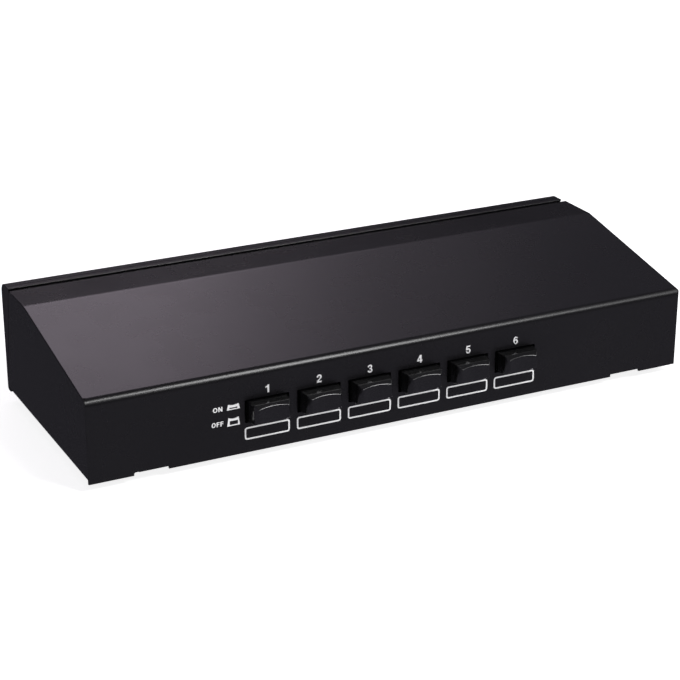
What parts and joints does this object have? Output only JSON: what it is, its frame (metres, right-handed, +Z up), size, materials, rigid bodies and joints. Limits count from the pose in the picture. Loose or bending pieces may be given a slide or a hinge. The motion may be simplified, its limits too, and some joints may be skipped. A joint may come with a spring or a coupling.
{
  "type": "speaker selector switch",
  "caption": "Low sloping black steel box with a row of latching push buttons on the front and screw terminals at the back, switching one amplifier to several speaker pairs.",
  "frame": {"origin": "middle of the bounding box's bottom, on the surface the feet stand on", "axes": "+X along the front panel to the right as seen from the front, +Y from the front panel towards the terminals, +Z up"},
  "size_m": [0.3, 0.1392, 0.059],
  "materials": {
    "case_paint": "satin black powder coat",
    "chassis_paint": "satin black powder coat",
    "board_laminate": "green laminate",
    "plate_plastic": "fine matt black",
    "post_metal": "gold plated",
    "screw_steel": "black zinc",
    "foot_rubber": "matt",
    "wire_sleeve": "flexible sleeve",
    "switch_housing": "moulded",
    "spring_steel": "drawn wire",
    "cap_plastic": "satin gloss black",
    "plunger_plastic": "moulded",
    "knob_red": "moulded",
    "knob_black": "moulded"
  },
  "bodies": {
    "case": {"top_cover": "case_paint", "bottom_chassis": "chassis_paint", "switch_board": "board_laminate", "terminal_plates": "plate_plastic", "binding_posts": "post_metal", "machine_screws": "screw_steel", "rubber_feet": "foot_rubber", "hookup_wires": "wire_sleeve", "switch_body_1": "switch_housing", "switch_body_2": "switch_housing", "switch_body_3": "switch_housing", "switch_body_4": "switch_housing", "switch_body_5": "switch_housing", "switch_body_6": "switch_housing", "return_spring_1": "spring_steel", "return_spring_2": "spring_steel", "return_spring_3": "spring_steel", "return_spring_4": "spring_steel", "return_spring_5": "spring_steel", "return_spring_6": "spring_steel"},
    "button_1": {"button_cap_1": "cap_plastic", "plunger_1": "plunger_plastic"},
    "button_2": {"button_cap_2": "cap_plastic", "plunger_2": "plunger_plastic"},
    "button_3": {"button_cap_3": "cap_plastic", "plunger_3": "plunger_plastic"},
    "button_4": {"button_cap_4": "cap_plastic", "plunger_4": "plunger_plastic"},
    "button_5": {"button_cap_5": "cap_plastic", "plunger_5": "plunger_plastic"},
    "button_6": {"button_cap_6": "cap_plastic", "plunger_6": "plunger_plastic"},
    "knob_amp_l_plus_turning": {"knob_amp_l_plus": "knob_red"},
    "knob_amp_l_minus_turning": {"knob_amp_l_minus": "knob_black"},
    "knob_amp_r_plus_turning": {"knob_amp_r_plus": "knob_red"},
    "knob_amp_r_minus_turning": {"knob_amp_r_minus": "knob_black"},
    "knob_out1_l_plus_turning": {"knob_out1_l_plus": "knob_red"},
    "knob_out1_l_minus_turning": {"knob_out1_l_minus": "knob_black"},
    "knob_out1_r_plus_turning": {"knob_out1_r_plus": "knob_red"},
    "knob_out1_r_minus_turning": {"knob_out1_r_minus": "knob_black"},
    "knob_out2_l_plus_turning": {"knob_out2_l_plus": "knob_red"},
    "knob_out2_l_minus_turning": {"knob_out2_l_minus": "knob_black"},
    "knob_out2_r_plus_turning": {"knob_out2_r_plus": "knob_red"},
    "knob_out2_r_minus_turning": {"knob_out2_r_minus": "knob_black"},
    "knob_out3_l_plus_turning": {"knob_out3_l_plus": "knob_red"},
    "knob_out3_l_minus_turning": {"knob_out3_l_minus": "knob_black"},
    "knob_out3_r_plus_turning": {"knob_out3_r_plus": "knob_red"},
    "knob_out3_r_minus_turning": {"knob_out3_r_minus": "knob_black"},
    "knob_out4_l_plus_turning": {"knob_out4_l_plus": "knob_red"},
    "knob_out4_l_minus_turning": {"knob_out4_l_minus": "knob_black"},
    "knob_out4_r_plus_turning": {"knob_out4_r_plus": "knob_red"},
    "knob_out4_r_minus_turning": {"knob_out4_r_minus": "knob_black"},
    "knob_out5_l_plus_turning": {"knob_out5_l_plus": "knob_red"},
    "knob_out5_l_minus_turning": {"knob_out5_l_minus": "knob_black"},
    "knob_out5_r_plus_turning": {"knob_out5_r_plus": "knob_red"},
    "knob_out5_r_minus_turning": {"knob_out5_r_minus": "knob_black"},
    "knob_out6_l_plus_turning": {"knob_out6_l_plus": "knob_red"},
    "knob_out6_l_minus_turning": {"knob_out6_l_minus": "knob_black"},
    "knob_out6_r_plus_turning": {"knob_out6_r_plus": "knob_red"},
    "knob_out6_r_minus_turning": {"knob_out6_r_minus": "knob_black"}
  },
  "joints": [
    {"name": "button_1_press", "type": "slide", "parent": "case", "child": "button_1", "axis": [0, 1, 0], "range_m": [0, 0.0045], "stiffness_N_per_m": 300, "springref_m": -0.003, "deforming": ["return_spring_1"]},
    {"name": "button_2_press", "type": "slide", "parent": "case", "child": "button_2", "axis": [0, 1, 0], "range_m": [0, 0.0045], "stiffness_N_per_m": 300, "springref_m": -0.003, "deforming": ["return_spring_2"]},
    {"name": "button_3_press", "type": "slide", "parent": "case", "child": "button_3", "axis": [0, 1, 0], "range_m": [0, 0.0045], "stiffness_N_per_m": 300, "springref_m": -0.003, "deforming": ["return_spring_3"]},
    {"name": "button_4_press", "type": "slide", "parent": "case", "child": "button_4", "axis": [0, 1, 0], "range_m": [0, 0.0045], "stiffness_N_per_m": 300, "springref_m": -0.003, "deforming": ["return_spring_4"]},
    {"name": "button_5_press", "type": "slide", "parent": "case", "child": "button_5", "axis": [0, 1, 0], "range_m": [0, 0.0045], "stiffness_N_per_m": 300, "springref_m": -0.003, "deforming": ["return_spring_5"]},
    {"name": "button_6_press", "type": "slide", "parent": "case", "child": "button_6", "axis": [0, 1, 0], "range_m": [0, 0.0045], "stiffness_N_per_m": 300, "springref_m": -0.003, "deforming": ["return_spring_6"]},
    {"name": "knob_amp_l_plus_turn", "type": "hinge", "parent": "case", "child": "knob_amp_l_plus_turning", "pos_m": [0.1135, 0.06327, 0.0405], "axis": [0, 1, 0], "continuous": true},
    {"name": "knob_amp_l_minus_turn", "type": "hinge", "parent": "case", "child": "knob_amp_l_minus_turning", "pos_m": [0.1135, 0.06327, 0.0215], "axis": [0, 1, 0], "continuous": true},
    {"name": "knob_amp_r_plus_turn", "type": "hinge", "parent": "case", "child": "knob_amp_r_plus_turning", "pos_m": [0.1325, 0.06327, 0.0405], "axis": [0, 1, 0], "continuous": true},
    {"name": "knob_amp_r_minus_turn", "type": "hinge", "parent": "case", "child": "knob_amp_r_minus_turning", "pos_m": [0.1325, 0.06327, 0.0215], "axis": [0, 1, 0], "continuous": true},
    {"name": "knob_out1_l_plus_turn", "type": "hinge", "parent": "case", "child": "knob_out1_l_plus_turning", "pos_m": [0.0725, 0.06327, 0.0405], "axis": [0, 1, 0], "continuous": true},
    {"name": "knob_out1_l_minus_turn", "type": "hinge", "parent": "case", "child": "knob_out1_l_minus_turning", "pos_m": [0.0725, 0.06327, 0.0215], "axis": [0, 1, 0], "continuous": true},
    {"name": "knob_out1_r_plus_turn", "type": "hinge", "parent": "case", "child": "knob_out1_r_plus_turning", "pos_m": [0.0915, 0.06327, 0.0405], "axis": [0, 1, 0], "continuous": true},
    {"name": "knob_out1_r_minus_turn", "type": "hinge", "parent": "case", "child": "knob_out1_r_minus_turning", "pos_m": [0.0915, 0.06327, 0.0215], "axis": [0, 1, 0], "continuous": true},
    {"name": "knob_out2_l_plus_turn", "type": "hinge", "parent": "case", "child": "knob_out2_l_plus_turning", "pos_m": [0.0315, 0.06327, 0.0405], "axis": [0, 1, 0], "continuous": true},
    {"name": "knob_out2_l_minus_turn", "type": "hinge", "parent": "case", "child": "knob_out2_l_minus_turning", "pos_m": [0.0315, 0.06327, 0.0215], "axis": [0, 1, 0], "continuous": true},
    {"name": "knob_out2_r_plus_turn", "type": "hinge", "parent": "case", "child": "knob_out2_r_plus_turning", "pos_m": [0.0505, 0.06327, 0.0405], "axis": [0, 1, 0], "continuous": true},
    {"name": "knob_out2_r_minus_turn", "type": "hinge", "parent": "case", "child": "knob_out2_r_minus_turning", "pos_m": [0.0505, 0.06327, 0.0215], "axis": [0, 1, 0], "continuous": true},
    {"name": "knob_out3_l_plus_turn", "type": "hinge", "parent": "case", "child": "knob_out3_l_plus_turning", "pos_m": [-0.0095, 0.06327, 0.0405], "axis": [0, 1, 0], "continuous": true},
    {"name": "knob_out3_l_minus_turn", "type": "hinge", "parent": "case", "child": "knob_out3_l_minus_turning", "pos_m": [-0.0095, 0.06327, 0.0215], "axis": [0, 1, 0], "continuous": true},
    {"name": "knob_out3_r_plus_turn", "type": "hinge", "parent": "case", "child": "knob_out3_r_plus_turning", "pos_m": [0.0095, 0.06327, 0.0405], "axis": [0, 1, 0], "continuous": true},
    {"name": "knob_out3_r_minus_turn", "type": "hinge", "parent": "case", "child": "knob_out3_r_minus_turning", "pos_m": [0.0095, 0.06327, 0.0215], "axis": [0, 1, 0], "continuous": true},
    {"name": "knob_out4_l_plus_turn", "type": "hinge", "parent": "case", "child": "knob_out4_l_plus_turning", "pos_m": [-0.0505, 0.06327, 0.0405], "axis": [0, 1, 0], "continuous": true},
    {"name": "knob_out4_l_minus_turn", "type": "hinge", "parent": "case", "child": "knob_out4_l_minus_turning", "pos_m": [-0.0505, 0.06327, 0.0215], "axis": [0, 1, 0], "continuous": true},
    {"name": "knob_out4_r_plus_turn", "type": "hinge", "parent": "case", "child": "knob_out4_r_plus_turning", "pos_m": [-0.0315, 0.06327, 0.0405], "axis": [0, 1, 0], "continuous": true},
    {"name": "knob_out4_r_minus_turn", "type": "hinge", "parent": "case", "child": "knob_out4_r_minus_turning", "pos_m": [-0.0315, 0.06327, 0.0215], "axis": [0, 1, 0], "continuous": true},
    {"name": "knob_out5_l_plus_turn", "type": "hinge", "parent": "case", "child": "knob_out5_l_plus_turning", "pos_m": [-0.0915, 0.06327, 0.0405], "axis": [0, 1, 0], "continuous": true},
    {"name": "knob_out5_l_minus_turn", "type": "hinge", "parent": "case", "child": "knob_out5_l_minus_turning", "pos_m": [-0.0915, 0.06327, 0.0215], "axis": [0, 1, 0], "continuous": true},
    {"name": "knob_out5_r_plus_turn", "type": "hinge", "parent": "case", "child": "knob_out5_r_plus_turning", "pos_m": [-0.0725, 0.06327, 0.0405], "axis": [0, 1, 0], "continuous": true},
    {"name": "knob_out5_r_minus_turn", "type": "hinge", "parent": "case", "child": "knob_out5_r_minus_turning", "pos_m": [-0.0725, 0.06327, 0.0215], "axis": [0, 1, 0], "continuous": true},
    {"name": "knob_out6_l_plus_turn", "type": "hinge", "parent": "case", "child": "knob_out6_l_plus_turning", "pos_m": [-0.1325, 0.06327, 0.0405], "axis": [0, 1, 0], "continuous": true},
    {"name": "knob_out6_l_minus_turn", "type": "hinge", "parent": "case", "child": "knob_out6_l_minus_turning", "pos_m": [-0.1325, 0.06327, 0.0215], "axis": [0, 1, 0], "continuous": true},
    {"name": "knob_out6_r_plus_turn", "type": "hinge", "parent": "case", "child": "knob_out6_r_plus_turning", "pos_m": [-0.1135, 0.06327, 0.0405], "axis": [0, 1, 0], "continuous": true},
    {"name": "knob_out6_r_minus_turn", "type": "hinge", "parent": "case", "child": "knob_out6_r_minus_turning", "pos_m": [-0.1135, 0.06327, 0.0215], "axis": [0, 1, 0], "continuous": true}
  ]
}
